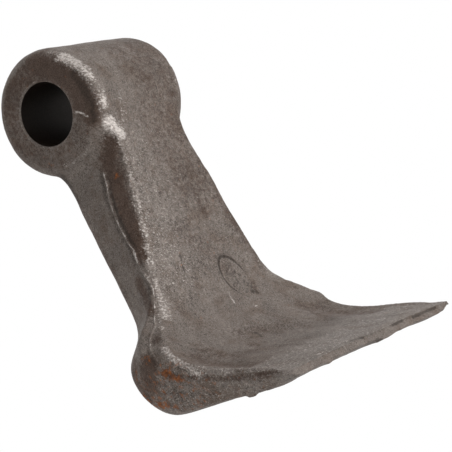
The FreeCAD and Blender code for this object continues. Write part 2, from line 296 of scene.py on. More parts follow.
def reshape(piece, places):
    """Moves the mesh's points, apart from those of the bore's wall and chamfers, which stay true."""
    before = skin(piece)[0]
    bored = np.linalg.norm(before[:, 1:], axis=1) < BORE_RADIUS + BORE_CHAMFER + BORE_LAND
    places = np.clip(places, np.array(cad_box[0]) / MM, np.array(cad_box[1]) / MM)
    places[bored] = before[bored]
    piece.data.vertices.foreach_set("co", (places * MM).astype(np.float32).ravel())
    piece.data.update()


def ease(t):
    t = np.clip(t, 0, 1)
    return t * t * (3 - 2 * t)


def rise(values, start, length):
    """0 up to the start, and then softly up to 1 over a length."""
    return ease((values - start) / length)


def fall(values, end, length):
    """Softly down from 1 to 0 over a length, and 0 from the end on."""
    return ease((end - values) / length)


def near(gaps, reach):
    """1 where there is no gap, and softly down to 0 where it is as wide as the reach."""
    return ease(1 - gaps / reach)


def nearest_on(path, places):
    """How far each place is from a path, and how far along the path, 0 to 1, its nearest point is."""
    stops = [np.array(stop, float) for stop in path]
    total = sum(np.linalg.norm(b - a) for a, b in zip(stops, stops[1:]))
    gap = np.full(len(places), 1e6)
    along = np.zeros(len(places))
    passed = 0.0
    for a, b in zip(stops, stops[1:]):
        run = b - a
        length = np.linalg.norm(run)
        t = np.clip((places - a) @ run / length ** 2, 0, 1)
        here = np.linalg.norm(places - a - t[:, None] * run, axis=1)
        closer = here < gap
        gap[closer] = here[closer]
        along[closer] = (passed + t[closer] * length) / total
        passed += length
    return gap, along


def stroke(places, path, radius, end_radius=None, fade=0.0):
    """A soft stroke along a path: 1 on it, 0 at its radius, which may change towards the end."""
    gap, along = nearest_on(path, places)
    width = radius + ((radius if end_radius is None else end_radius) - radius) * along
    mark = near(gap, width)
    if fade > 0:
        mark *= ease(along / fade) * ease((1 - along) / fade)
    return mark


def mirrored(path):
    return [(-x, y, z) for x, y, z in path]


def both_sides(path):
    return (path, mirrored(path))


def shifted(path, forward=0.0, up=0.0):
    """A path moved along Y and Z."""
    return [(x, y + forward, z + up) for x, y, z in path]


def on_both(places, path, radius, end_radius=None, fade=0.0):
    """A stroke along a path and its mirror image, where the stronger counts."""
    return np.maximum(stroke(places, path, radius, end_radius, fade),
                      stroke(places, mirrored(path), radius, end_radius, fade))


def lay(amounts, places, strokes, share=1):
    """Lays strokes over amounts, each a path, an amount and a radius. The strongest counts."""
    for path, amount, radius in strokes:
        amounts = np.maximum(amounts, share * amount * stroke(places, path, radius))
    return amounts


def uneven(places, size, seed, octaves=1):
    """Smooth random values for the places, about -1 to 1, with lumps of a size in millimetres."""
    shift = Vector((11.3, 5.7, 8.9)) * seed
    if octaves == 1:
        return np.array([noise.noise(Vector(place) / size + shift) for place in places])
    return np.array([noise.fractal(Vector(place) / size + shift, 1.0, 2.0, octaves) for place in places])


def across_stamp(places, facing):
    """How far out each place is, 1 on the stamp's rim, and its parts along and across the oval."""
    right = places[:, 0] - STAMP_CENTRE_X
    up = places[:, 2] - STAMP_CENTRE_Z
    along = (right * math.cos(STAMP_TURN) - up * math.sin(STAMP_TURN)) / STAMP_HALF_LENGTH
    across = (right * math.sin(STAMP_TURN) + up * math.cos(STAMP_TURN)) / STAMP_HALF_WIDTH
    out = np.hypot(along, across)
    out[facing[:, 1] > -0.5] = OFF_STAMP
    return out, along, across


def rough_hammer():
    """The hammer's solid as one even skin, with its bore filled."""
    piece = bpy.data.objects.new("forged_hammer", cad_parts["hammer_blade"].data.copy())
    bpy.context.scene.collection.objects.link(piece)
    piece.data.materials.clear()
    only(piece)
    bpy.ops.object.mode_set(mode="EDIT")
    bpy.ops.mesh.select_all(action="SELECT")
    bpy.ops.mesh.remove_doubles(threshold=SAME_PLACE * MM)
    bpy.ops.object.mode_set(mode="OBJECT")
    half = PLUG_LENGTH / 2
    combine(piece, bar_along_bore("plug", PLUG_RADIUS, PLUG_RADIUS, -half, half), "UNION")
    finish_with(piece, "REMESH", mode="VOXEL", voxel_size=SKIN_PITCH * MM, adaptivity=0.0)
    return piece


def bore_eye(piece):
    """The pin bore with its two small chamfers, and without the slivers that their cuts leave."""
    half = EYE_WIDTH / 2
    outer = half + OVERCUT
    inner = half - BORE_CHAMFER
    mouth = BORE_RADIUS + BORE_CHAMFER + OVERCUT
    combine(piece, bar_along_bore("drill", BORE_RADIUS, BORE_RADIUS, -outer, outer), "DIFFERENCE")
    combine(piece, bar_along_bore("left_mouth", mouth, BORE_RADIUS, -outer, -inner), "DIFFERENCE")
    combine(piece, bar_along_bore("right_mouth", BORE_RADIUS, mouth, inner, outer), "DIFFERENCE")
    only(piece)
    bpy.ops.object.mode_set(mode="EDIT")
    bpy.ops.mesh.select_all(action="SELECT")
    bpy.ops.mesh.remove_doubles(threshold=SLIVER * MM)
    bpy.ops.mesh.dissolve_degenerate(threshold=SLIVER * MM)
    bpy.ops.object.mode_set(mode="OBJECT")


def soften_neck(piece):
    """The hollows where the shank grows out of the eye are rolled, without a crease."""
    places = skin(piece)[0]
    group = piece.vertex_groups.new(name="neck")
    below_eye = rise(places[:, 2], -40, 14) * fall(places[:, 2], 4, 12)
    from_axis = np.linalg.norm(places[:, 1:], axis=1)
    weight = below_eye * rise(from_axis, 13, 4)
    for index in np.nonzero(weight > 0.01)[0]:
        group.add([int(index)], float(weight[index]), "REPLACE")
    finish_with(piece, "SMOOTH", factor=0.5, iterations=12, vertex_group="neck")
    piece.vertex_groups.clear()


def shape_foot(piece):
    """The lip that stands up along the side of the foot, the valley beside it, and the drooping tips."""
    places, facing = skin(piece)
    height = np.zeros(len(places))
    for path in both_sides(FOOT_LIP):
        height += 0.6 * stroke(places, path, 3.4, 2.2, fade=0.1)
    for path in both_sides(FOOT_VALLEY):
        height -= 1.15 * stroke(places, path, 13.0, 9.0, fade=0.25)
    height += 0.5 * stroke(places, TOP_BUMP, 4.0)
    height += 0.6 * stroke(places, NECK_CORNER, 6.0, fade=0.4)
    places += facing * height[:, None]
    droop = rise(np.abs(places[:, 0]), 28, 20) * fall(places[:, 1], -18, 10)
    places[:, 2] -= 0.6 * droop
    reshape(piece, places)


def wear_edge(piece):
    """The cutting edge's lower line is ragged flash, and its right corner is worn away."""
    places, facing = skin(piece)
    x, y, z = places.T
    waves = uneven(np.column_stack((x, 0 * x, 0 * x)), 5.0, seed=3, octaves=3)
    worn = 0.6 + 0.35 * np.clip(-x / 25 + 0.6, 0, 1) + 0.35 * waves
    for jag_x, left_width, right_width, depth in EDGE_JAGS:
        width = np.where(x < jag_x, left_width, right_width)
        worn += depth * near(np.abs(x - jag_x), width)
    near_bottom = fall(z, -111.3, 3.0) * fall(y, -38, 7)
    places[:, 2] += np.clip(worn, 0, None) * near_bottom
    corner = EDGE_LINE + 2.1 * rise(x, WORN_CORNER_START, 12) + 0.2 * waves
    at_corner = (x > WORN_CORNER_START) & (y < -38)
    places[at_corner, 2] = np.maximum(places[at_corner, 2], corner[at_corner])
    tip = rise(x, 48.5, 3) * fall(y, -43.5, 3)
    places += tip[:, None] * (-0.8, 0.9, -0.5)
    for flash, size, out in FLASHES:
        for path in both_sides([flash, (flash[0], flash[1] - 1.0, flash[2] - 0.3)]):
            places += facing * (out * stroke(places, path, size))[:, None]
    reshape(piece, places)


def lump(piece):
    """Broad unevenness of a hammered surface, less on the flat cheeks of the eye."""
    places, facing = skin(piece)
    flat = rise(np.abs(facing[:, 0]), 0.9, 0.09) * rise(places[:, 2], -22, 4)
    blade = fall(places[:, 2], -88, 8)
    broad = 0.20 * uneven(places, 13.0, seed=1) * (1 - 0.6 * blade)
    small = 0.09 * uneven(places, 4.5, seed=2, octaves=2)
    height = (broad + small) * (1 - 0.75 * flat) * (1 - 0.7 * stroke(places, mirrored(SHANK_ARRIS), 9.0))
    height -= 0.08
    reshape(piece, places + facing * height[:, None])


def refine(piece, paths, radius):
    """Divides the skin's faces near some paths, for finer shapes."""
    places = skin(piece)[0]
    close = np.zeros(len(places), bool)
    for path in paths:
        close |= nearest_on(path, places)[0] < radius
    divide(piece, close)


def refine_stamp(piece):
    places, facing = skin(piece)
    divide(piece, across_stamp(places, facing)[0] < 1.35)


def divide(piece, marked):
    """Cuts each four-sided face in four, where all its points are marked."""
    only(piece)
    bpy.ops.object.mode_set(mode="EDIT")
    bpy.context.tool_settings.mesh_select_mode = (False, False, True)
    bpy.ops.mesh.select_all(action="DESELECT")
    mesh = bmesh.from_edit_mesh(piece.data)
    mesh.faces.ensure_lookup_table()
    for face in mesh.faces:
        if len(face.verts) == 4 and all(marked[corner.index] for corner in face.verts):
            face.select_set(True)
    bmesh.update_edit_mesh(piece.data)
    bpy.ops.mesh.subdivide(number_cuts=1)
    bpy.ops.mesh.vertices_smooth(factor=0.5, repeat=2)
    bpy.ops.object.mode_set(mode="OBJECT")


def cut_details(piece):
    """Crinkled arrises, the collar, the parting line, the foot's seam and strip, the scar and the stamp."""
    places, facing = skin(piece)
    height = np.zeros(len(places))
    crinkle = uneven(places * (0.5, 1, 1), 1.2, seed=4, octaves=2)
    for path in (EYE_RIM, SHANK_ARRIS, LIP_WEAR):
        height += 0.20 * crinkle * stroke(places, path, 3.0)
        height += 0.04 * crinkle * stroke(places, mirrored(path), 3.0)
    height += (0.3 + 0.25 * crinkle) * stroke(places, EYE_SCAR, 4.0)
    for path in both_sides(EYE_COLLAR):
        height += 0.45 * stroke(places, path, 2.4, fade=0.15)
        height -= 0.45 * stroke(places, shifted(path, up=COLLAR_TO_GROOVE), 2.4, fade=0.15)
    for path in both_sides(PARTING_LINE):
        height += 0.24 * stroke(places, path, 0.6, fade=0.04)
        height -= 0.16 * stroke(places, shifted(path, forward=-1.1), 0.9, fade=0.04)
    for path in both_sides(FOOT_SEAM):
        height -= 0.42 * stroke(places, path, 1.3, 1.0, fade=0.05)
    for path in both_sides(FOOT_STRIP):
        height += 0.15 * stroke(places, path, 0.8)
        height -= 0.30 * stroke(places, shifted(path, up=-1.0), 1.0)
    for path in LAND_DASHES:
        height -= 0.3 * stroke(places, path, 0.9)
    out, along, across = across_stamp(places, facing)
    rim = near(np.abs(out - 1), 0.13) * ease(0.72 - 0.62 * along - 0.12 * across)
    height -= 0.38 * rim
    height += 0.14 * near(np.abs(out - 1.22), 0.15) * ease(0.9 - 0.5 * along)
    inside = fall(out, 1, 0.15)
    height -= inside * (0.12 + 0.22 * ease(uneven(places, 1.8, seed=8, octaves=2) * 1.5))
    reshape(piece, places + facing * height[:, None])


def pit(piece):
    """Small scale pits scattered over the skin."""
    places, facing = skin(piece)
    picker = np.random.default_rng(PIT_SEED)
    height = np.zeros(len(places))
    for index in picker.integers(0, len(places), PIT_COUNT):
        radius = picker.uniform(*PIT_RADII)
        gap = np.linalg.norm(places - places[index], axis=1)
        height -= radius * PIT_DEPTH_TO_RADIUS * near(gap, radius)
    reshape(piece, places + facing * height[:, None])


def sort_faces(piece):
    """The bore's wall gets the second material, and its two rims stay crisp."""
    mesh = piece.data
    for polygon in mesh.polygons:
        middle = polygon.center / MM
        inside = math.hypot(middle.y, middle.z) < BORE_RADIUS + BORE_CHAMFER + 0.4
        across = abs(polygon.normal.x) < 0.3
        polygon.material_index = 1 if inside and across and abs(middle.x) < EYE_WIDTH / 2 + 1 else 0
    only(piece)
    bpy.ops.object.shade_smooth()
    faces_of = {}
    for polygon in mesh.polygons:
        for key in polygon.edge_keys:
            faces_of.setdefault(key, []).append(polygon)
    for edge in mesh.edges:
        sides = faces_of.get(edge.key, [])
        if len(sides) == 2 and any(polygon.material_index == 1 for polygon in sides):
            edge.use_edge_sharp = sides[0].normal.angle(sides[1].normal, 0.0) > CRISP_ANGLE


def facing_front(facing):
    return rise(-facing[:, 1], 0.45, 0.35)


def side_of_foot(places, facing):
    return rise(np.abs(facing[:, 0]), 0.3, 0.4) * fall(places[:, 2], -84, 8)


def gap_to_near_arris(places):
    return nearest_on(SHANK_ARRIS + FOOT_ARRIS[1:3], places)[0]


def bare_steel_and_highlights(places, facing):
    """Worn arrises and lines, scratches, a rubbed patch on the eye, and the shank's front lighter towards the
    left, together with painted highlights on the eye's rim, the foot's lip, the shank's left front arris and
    the bore's mouths, and painted light on the blade's upward faces near the edge.
    """
    x, y, z = places.T
    front = facing_front(facing)
    patchy = 0.75 + 0.5 * uneven(places, 4.0, seed=7)
    worn = np.zeros(len(places))
    # Worn steel and painted highlights along the eye's rim and the foot's lip
    for path, amount, radius, end_radius in WORN_AND_HIGHLIT_LINES:
        line = stroke(places, path, radius, end_radius, fade=0.12)
        worn = np.maximum(worn, amount * (0.6 + 0.4 * patchy) * line)
        line = stroke(places, mirrored(path), 0.7 * radius, fade=0.1)
        worn = np.maximum(worn, WEAR_AND_HIGHLIGHT_ON_RIGHT * amount * line)
    worn *= 1 - 0.6 * stroke(places, EYE_RIM_GAP, 3.8)

    off_side = rise(-facing[:, 1], 0.25, 0.3)
    line = stroke(places, SCUFF, 5.6, 6.0, fade=0.12)
    worn = np.maximum(worn, 0.64 * (0.6 + 0.4 * patchy) * off_side * line)
    worn = np.maximum(worn, 0.28 * off_side * stroke(places, mirrored(SCUFF), 3.9, fade=0.1))
    worn = np.maximum(worn, 0.90 * stroke(places, EYE_SCAR, 4.6, 4.0))
    worn = np.maximum(worn, 0.38 * stroke(places, EYE_SCAR, 8.0, 7.0))
    worn = np.maximum(worn, 0.32 * stroke(places, EYE_RUBBED, 5.0))

    # Worn steel and a painted highlight along the shank's left front arris
    ticks = 1 + 0.5 * uneven(places, 1.7, seed=15)
    gap = gap_to_near_arris(places)
    arris = 0.55 * near(gap, 5.0) + 0.06 * near(gap, 12)
    worn = np.maximum(worn, front * patchy * ticks * arris)
    worn *= 1 - 0.85 * stroke(places, FOOT_EDGE, 2.4)
    worn = np.maximum(worn, front * 0.12 * stroke(places, mirrored(SHANK_ARRIS), 2.5))
    shank_front = front * rise(z, -80, 16) * fall(z, -12, 10)
    worn = np.maximum(worn, shank_front * (0.11 + 0.17 * fall(x, 6, 26)))
    # Painted light: the blade's upward faces near the edge made lighter
    blade_low = rise(facing[:, 2], 0.2, 0.3) * fall(z, -97, 8) * fall(y, -24, 8)
    worn = np.maximum(worn, 0.30 * blade_low)

    dashes = 0.8 + 0.7 * uneven(places, 2.5, seed=9)
    worn = np.maximum(worn, 0.70 * dashes * on_both(places, PARTING_LINE, 0.48, fade=0.05))
    worn = np.maximum(worn, 0.30 * on_both(places, EYE_COLLAR, 2.2, fade=0.2))
    worn = np.maximum(worn, 0.24 * on_both(places, FOOT_STRIP, 0.9, fade=0.1))
    # Worn steel and a painted highlight round the mouths of the bore
    mouth_gap = np.abs(np.linalg.norm(places[:, 1:], axis=1) - BORE_RADIUS - BORE_CHAMFER / 2)
    worn = np.maximum(worn, 0.28 * near(mouth_gap, 0.7) * (np.abs(x) > EYE_WIDTH / 2 - 1))
    return lay(worn, places, SCRATCHES)


def brown_oxide_and_shade(places, facing):
    """Dark oxide in the facets, the foot's seam and on the cheeks, and in broad patches on the front, together
    with painted shade along the back arrises and the back half of the shank's sides, in the foot's valleys,
    over the front's middle, right and upper part, and towards the top of the cheeks. It is also darker along
    the heel's border, on the front beside the near arris, and on the faces turned to the back.
    """
    x, y, z = places.T
    front = facing_front(facing)
    sideways = np.abs(facing[:, 0])
    scallops = 0.42 * uneven(places * (1, 1, 1.4), 2.2, seed=12, octaves=2)
    facet = ease((sideways - 0.28 + scallops) / 0.24)
    oxide_and_shade = 0.90 * facet * on_both(places, OXIDE_FACET, 6.8, 6.2)
    oxide_and_shade = lay(oxide_and_shade, places, OXIDE_PATCHES)
    on_right = [(mirrored(path), amount, radius) for path, amount, radius in OXIDE_PATCHES]
    oxide_and_shade = lay(oxide_and_shade, places, on_right, OXIDE_ON_RIGHT)
    oxide_and_shade = lay(oxide_and_shade, places, OXIDE_BLOTCHES)
    oxide_and_shade = np.maximum(oxide_and_shade, 0.66 * stroke(places, mirrored(SHANK_ARRIS)[1:], 8.5))
    # Painted shade over the middle of the shank's front, low down towards the foot
    oxide_and_shade = np.maximum(oxide_and_shade, 0.42 * front * stroke(places, FRONT_SHADE, 11.0))
    # Painted shade in the valleys beside the foot's lips, on both sides
    oxide_and_shade = np.maximum(oxide_and_shade, 0.54 * on_both(places, FOOT_VALLEY, 11.0, fade=0.15))
    oxide_and_shade = np.maximum(oxide_and_shade, 0.46 * on_both(places, VALLEY_SHADE, 8.5))
    oxide_and_shade = np.maximum(oxide_and_shade, 0.74 * on_both(places, HEEL_BORDER, 8.0, fade=0.25))
    oxide_and_shade = np.maximum(oxide_and_shade, 0.66 * on_both(places, FOOT_SEAM, 1.8, 2.4))
    # Painted shade: darker along the back arrises and over the back half of the shank's sides, where they turn
    # away from the light
    oxide_and_shade = np.maximum(oxide_and_shade, 0.54 * on_both(places, BACK_ARRIS, 6.5))
    shank_side = rise(sideways, 0.3, 0.4) * fall(z, -15, 5) * rise(z, -80, 6)
    oxide_and_shade = np.maximum(oxide_and_shade, 0.56 * shank_side * rise(y, 4.0, 6.0))
    cheek = rise(sideways, 0.85, 0.12) * rise(z, -24, 6)
    # Dark oxide on the cheeks, with painted shade that makes them darker towards the top and lighter towards
    # the bottom
    oxide_and_shade = np.maximum(oxide_and_shade, (0.54 + 0.13 * np.clip(z / 16, -1, 1)) * cheek)
    oxide_and_shade = np.maximum(oxide_and_shade, 0.30 * front * near(gap_to_near_arris(places), 8))
    # Painted shade: the front darker towards its right and towards the top
    oxide_and_shade = np.maximum(oxide_and_shade, 0.47 * front * rise(x, -16, 20) * rise(z, -66, 30))
    return np.maximum(oxide_and_shade, 0.30 * rise(facing[:, 1], 0, 0.5) * (1 - 0.8 * fall(z, -90, 8)))


def rust_spots(places, facing):
    """Rust in spots, mostly on the heel, and a little over the sides of the foot."""
    rust = np.zeros(len(places))
    for spot, size, amount in RUST_SPOTS:
        rust = np.maximum(rust, amount * stroke(places, [spot, (spot[0], spot[1] + 0.2, spot[2])], size))
    towards_heel = rise(places[:, 1], -26, 18)
    return np.maximum(rust, 0.24 * side_of_foot(places, facing) * (0.5 + 0.5 * towards_heel))


def dark_grime_and_shade(places, facing):
    """Grime beside the raised lines, in the grooves and the stamp, and in specks, together with painted shade
    under the eye at the back of the neck and on the cheeks beside the front rim, and a painted shadow behind
    the parting line.
    """
    grime_and_shade = 0.8 * on_both(places, shifted(PARTING_LINE, forward=-1.2), 1.3, fade=0.1)
    # A painted shadow on the side behind the raised parting line
    grime_and_shade = np.maximum(grime_and_shade, 0.58 * on_both(places, shifted(PARTING_LINE, forward=1.3), 2.2, fade=0.05))
    grime_and_shade = np.maximum(grime_and_shade, 0.62 * on_both(places, FOOT_SEAM, 1.0, 1.4))
    # Painted shade under the eye at the back of the neck, and on the cheeks beside the front rim
    grime_and_shade = np.maximum(grime_and_shade, 0.66 * on_both(places, NECK_SHADE, 5.0, 3.8))
    grime_and_shade = np.maximum(grime_and_shade, 0.68 * on_both(places, CHEEK_SHADE, 3.8, fade=0.1))
    groove = shifted(EYE_COLLAR, up=COLLAR_TO_GROOVE)
    grime_and_shade = np.maximum(grime_and_shade, 0.62 * on_both(places, groove, 2.2, fade=0.2))
    out, along, across = across_stamp(places, facing)
    rim = near(np.abs(out - 1), 0.15) * ease(0.80 - 0.62 * along - 0.10 * across)
    grime_and_shade = np.maximum(grime_and_shade, 0.90 * rim)
    floor = fall(out, 1, 0.3) * (0.40 + 0.30 * uneven(places, 1.1, seed=21, octaves=2))
    grime_and_shade = np.maximum(grime_and_shade, floor)
    grime_and_shade = np.maximum(grime_and_shade, 0.42 * stroke(places, LAND_TOP, 1.0))
    grime_and_shade = lay(grime_and_shade, places, [(path, 1, 1.1) for path in LAND_DASHES])
    return lay(grime_and_shade, places, GRIME_SPECKS)


def rippled_scale(places, facing):
    blade_top = rise(facing[:, 2], 0.2, 0.3) * fall(places[:, 2], -82, 8) * fall(places[:, 1], -4, 6)
    return lay(0.10 * blade_top, places, RIPPLES)


def coarse_grain(places, facing):
    """Where the fine tooth of the steel is coarser: the front of the shank and the sides of the foot."""
    x, y, z = places.T
    shank_front = facing_front(facing) * rise(z, -80, 16) * fall(z, -10, 12)
    return np.maximum(shank_front * (0.45 + 0.55 * fall(x, 10, 26)), side_of_foot(places, facing))


def paint_wear(piece):
    """Keeps on each point of the skin, from 0 to 1, what the materials read."""
    places, facing = skin(piece)
    for name, amounts in (
        ("worn", bare_steel_and_highlights), ("oxide_and_shade", brown_oxide_and_shade), ("rust", rust_spots), ("grime_and_shade", dark_grime_and_shade),
        ("ripple", rippled_scale), ("grain", coarse_grain),
    ):
        layer = piece.data.attributes.new(name, "FLOAT", "POINT")
        layer.data.foreach_set("value", np.clip(amounts(places, facing), 0, 1).astype(np.float32))


def linear(colour):
    """A colour as the eye reads it, 0 to 255, turned into the light that it reflects."""
    return tuple((value / 255 / 12.92 if value < 11 else ((value / 255 + 0.055) / 1.055) ** 2.4)
                 for value in colour) + (1.0,)


def socket(group, name, kind, way, value=None):
    made = group.interface.new_socket(name=name, in_out=way, socket_type=kind)
    if value is not None:
        made.default_value = value
    return made


def field(nodes, links, place, size, detail, roughness=0.5, shift=0.0):
    """A random field with lumps of a size in millimetres, 0 to 1."""
    mapping = nodes.new("ShaderNodeMapping")
    mapping.inputs["Location"].default_value = (shift, shift * 0.7, shift * 1.3)
    links.new(place, mapping.inputs["Vector"])
    made = nodes.new("ShaderNodeTexNoise")
    made.inputs["Scale"].default_value = 1 / (size * MM)
    made.inputs["Detail"].default_value = detail
    made.inputs["Roughness"].default_value = roughness
    links.new(mapping.outputs["Vector"], made.inputs["Vector"])
    return made.outputs["Fac"]


def between(nodes, links, value, low, high, to_low=0.0, to_high=1.0, smooth=True):
    """Takes a value from one range to another, and keeps it inside."""
    made = nodes.new("ShaderNodeMapRange")
    made.interpolation_type = "SMOOTHSTEP" if smooth else "LINEAR"
    made.inputs["From Min"].default_value = low
    made.inputs["From Max"].default_value = high
    made.inputs["To Min"].default_value = to_low
    made.inputs["To Max"].default_value = to_high
    links.new(value, made.inputs["Value"])
    return made.outputs["Result"]


def maths(nodes, links, operation, a, b):
    made = nodes.new("ShaderNodeMath")
    made.operation = operation
    for value, plug in ((a, made.inputs[0]), (b, made.inputs[1])):
        if isinstance(value, (int, float)):
            plug.default_value = value
        else:
            links.new(value, plug)
    return made.outputs[0]


def blend(nodes, links, kind, a, b, mask):
    """Mixes two colours or two values by a mask."""
    made = nodes.new("ShaderNodeMix")
    made.data_type = kind
    spot = {"RGBA": 6, "FLOAT": 2}[kind]
    for value, plug in ((a, made.inputs[spot]), (b, made.inputs[spot + 1]), (mask, made.inputs[0])):
        if isinstance(value, (int, float, tuple)):
            plug.default_value = value
        else:
            links.new(value, plug)
    return made.outputs[{"RGBA": 2, "FLOAT": 0}[kind]]


def broken_mask_group():
    """A painted amount broken up into flecks and ragged edges by a random field."""
    group = bpy.data.node_groups.new("broken mask", "ShaderNodeTree")
    socket(group, "Amount", "NodeSocketFloat", "INPUT", 0.0)
    socket(group, "Fleck Size", "NodeSocketFloat", "INPUT", 1.0)
    socket(group, "Stretch", "NodeSocketFloat", "INPUT", 1.0)
    socket(group, "Along", "NodeSocketVector", "INPUT", (1.0, 0.0, 0.0))
    socket(group, "Break Up", "NodeSocketFloat", "INPUT", 1.0)
    socket(group, "Softness", "NodeSocketFloat", "INPUT", 0.1)
    socket(group, "Mask", "NodeSocketFloat", "OUTPUT")
    socket(group, "Flecks", "NodeSocketFloat", "OUTPUT")
    nodes, links = group.nodes, group.links
    given = nodes.new("NodeGroupInput")
    result = nodes.new("NodeGroupOutput")
    origin = nodes.new("ShaderNodeTexCoord").outputs["Object"]
    reach = nodes.new("ShaderNodeVectorMath")
    reach.operation = "DOT_PRODUCT"
    links.new(origin, reach.inputs[0])
    links.new(given.outputs["Along"], reach.inputs[1])
    kept = maths(nodes, links, "SUBTRACT", 1.0, maths(nodes, links, "DIVIDE", 1.0, given.outputs["Stretch"]))
    pulled = nodes.new("ShaderNodeVectorMath")
    pulled.operation = "SCALE"
    links.new(given.outputs["Along"], pulled.inputs[0])
    links.new(maths(nodes, links, "MULTIPLY", reach.outputs["Value"], kept), pulled.inputs["Scale"])
    place = nodes.new("ShaderNodeVectorMath")
    place.operation = "SUBTRACT"
    links.new(origin, place.inputs[0])
    links.new(pulled.outputs["Vector"], place.inputs[1])
    scale = maths(nodes, links, "DIVIDE", 1 / MM, given.outputs["Fleck Size"])
    flecks = nodes.new("ShaderNodeTexNoise")
    flecks.inputs["Detail"].default_value = 6
    flecks.inputs["Roughness"].default_value = 0.72
    links.new(place.outputs["Vector"], flecks.inputs["Vector"])
    links.new(scale, flecks.inputs["Scale"])
    centred = maths(nodes, links, "SUBTRACT", flecks.outputs["Fac"], 0.5)
    pushed = maths(nodes, links, "MULTIPLY", centred, given.outputs["Break Up"])
    raised = maths(nodes, links, "ADD", given.outputs["Amount"], pushed)
    low = maths(nodes, links, "SUBTRACT", 0.5, given.outputs["Softness"])
    high = maths(nodes, links, "ADD", 0.5, given.outputs["Softness"])
    step = nodes.new("ShaderNodeMapRange")
    step.interpolation_type = "SMOOTHSTEP"
    links.new(raised, step.inputs["Value"])
    links.new(low, step.inputs["From Min"])
    links.new(high, step.inputs["From Max"])
    links.new(step.outputs["Result"], result.inputs["Mask"])
    links.new(flecks.outputs["Fac"], result.inputs["Flecks"])
    return group


def grain_group():
    """The fine tooth of forged steel: a height in millimetres and a tone from 0 to 1."""
    group = bpy.data.node_groups.new("forged grain", "ShaderNodeTree")
    socket(group, "Coarse", "NodeSocketFloat", "INPUT", 0.5)
    socket(group, "Height", "NodeSocketFloat", "OUTPUT")
    socket(group, "Tone", "NodeSocketFloat", "OUTPUT")
    nodes, links = group.nodes, group.links
    given = nodes.new("NodeGroupInput")
    result = nodes.new("NodeGroupOutput")
    place = nodes.new("ShaderNodeTexCoord").outputs["Object"]
    fine = field(nodes, links, place, 0.38, 3, 0.75)
    middle = field(nodes, links, place, 1.5, 4, 0.7, shift=0.013)
    broad = field(nodes, links, place, 9.0, 3, 0.55, shift=0.031)
    coarse_part = maths(nodes, links, "MULTIPLY", middle, given.outputs["Coarse"])
    height = maths(nodes, links, "ADD", maths(nodes, links, "MULTIPLY", fine, 0.6), coarse_part)
    links.new(height, result.inputs["Height"])
    tone = between(nodes, links, fine, 0.0, 1.0, -1.15, 1.15, smooth=False)
    speckle = between(nodes, links, middle, 0.0, 1.0, -0.75, 0.75, smooth=False)
    speckle = maths(nodes, links, "MULTIPLY", speckle, given.outputs["Coarse"])
    patches = between(nodes, links, broad, 0.0, 1.0, 0.2, 0.8, smooth=False)
    tone = maths(nodes, links, "ADD", maths(nodes, links, "ADD", tone, speckle), patches)
    links.new(between(nodes, links, tone, -0.15, 1.15, smooth=False), result.inputs["Tone"])
    return group


def painted(nodes, name):
    made = nodes.new("ShaderNodeAttribute")
    made.attribute_name = name
    return made.outputs["Fac"]


def broken(nodes, links, group, amount, fleck_kind, along=(1, 0, 0)):
    """A painted amount's broken mask, and the flecks that break it up."""
    made = nodes.new("ShaderNodeGroup")
    made.node_tree = group
    links.new(amount, made.inputs["Amount"])
    made.inputs["Along"].default_value = along
    for name, value in zip(("Fleck Size", "Stretch", "Break Up", "Softness"), fleck_kind):
        made.inputs[name].default_value = value
    return made.outputs["Mask"], made.outputs["Flecks"]


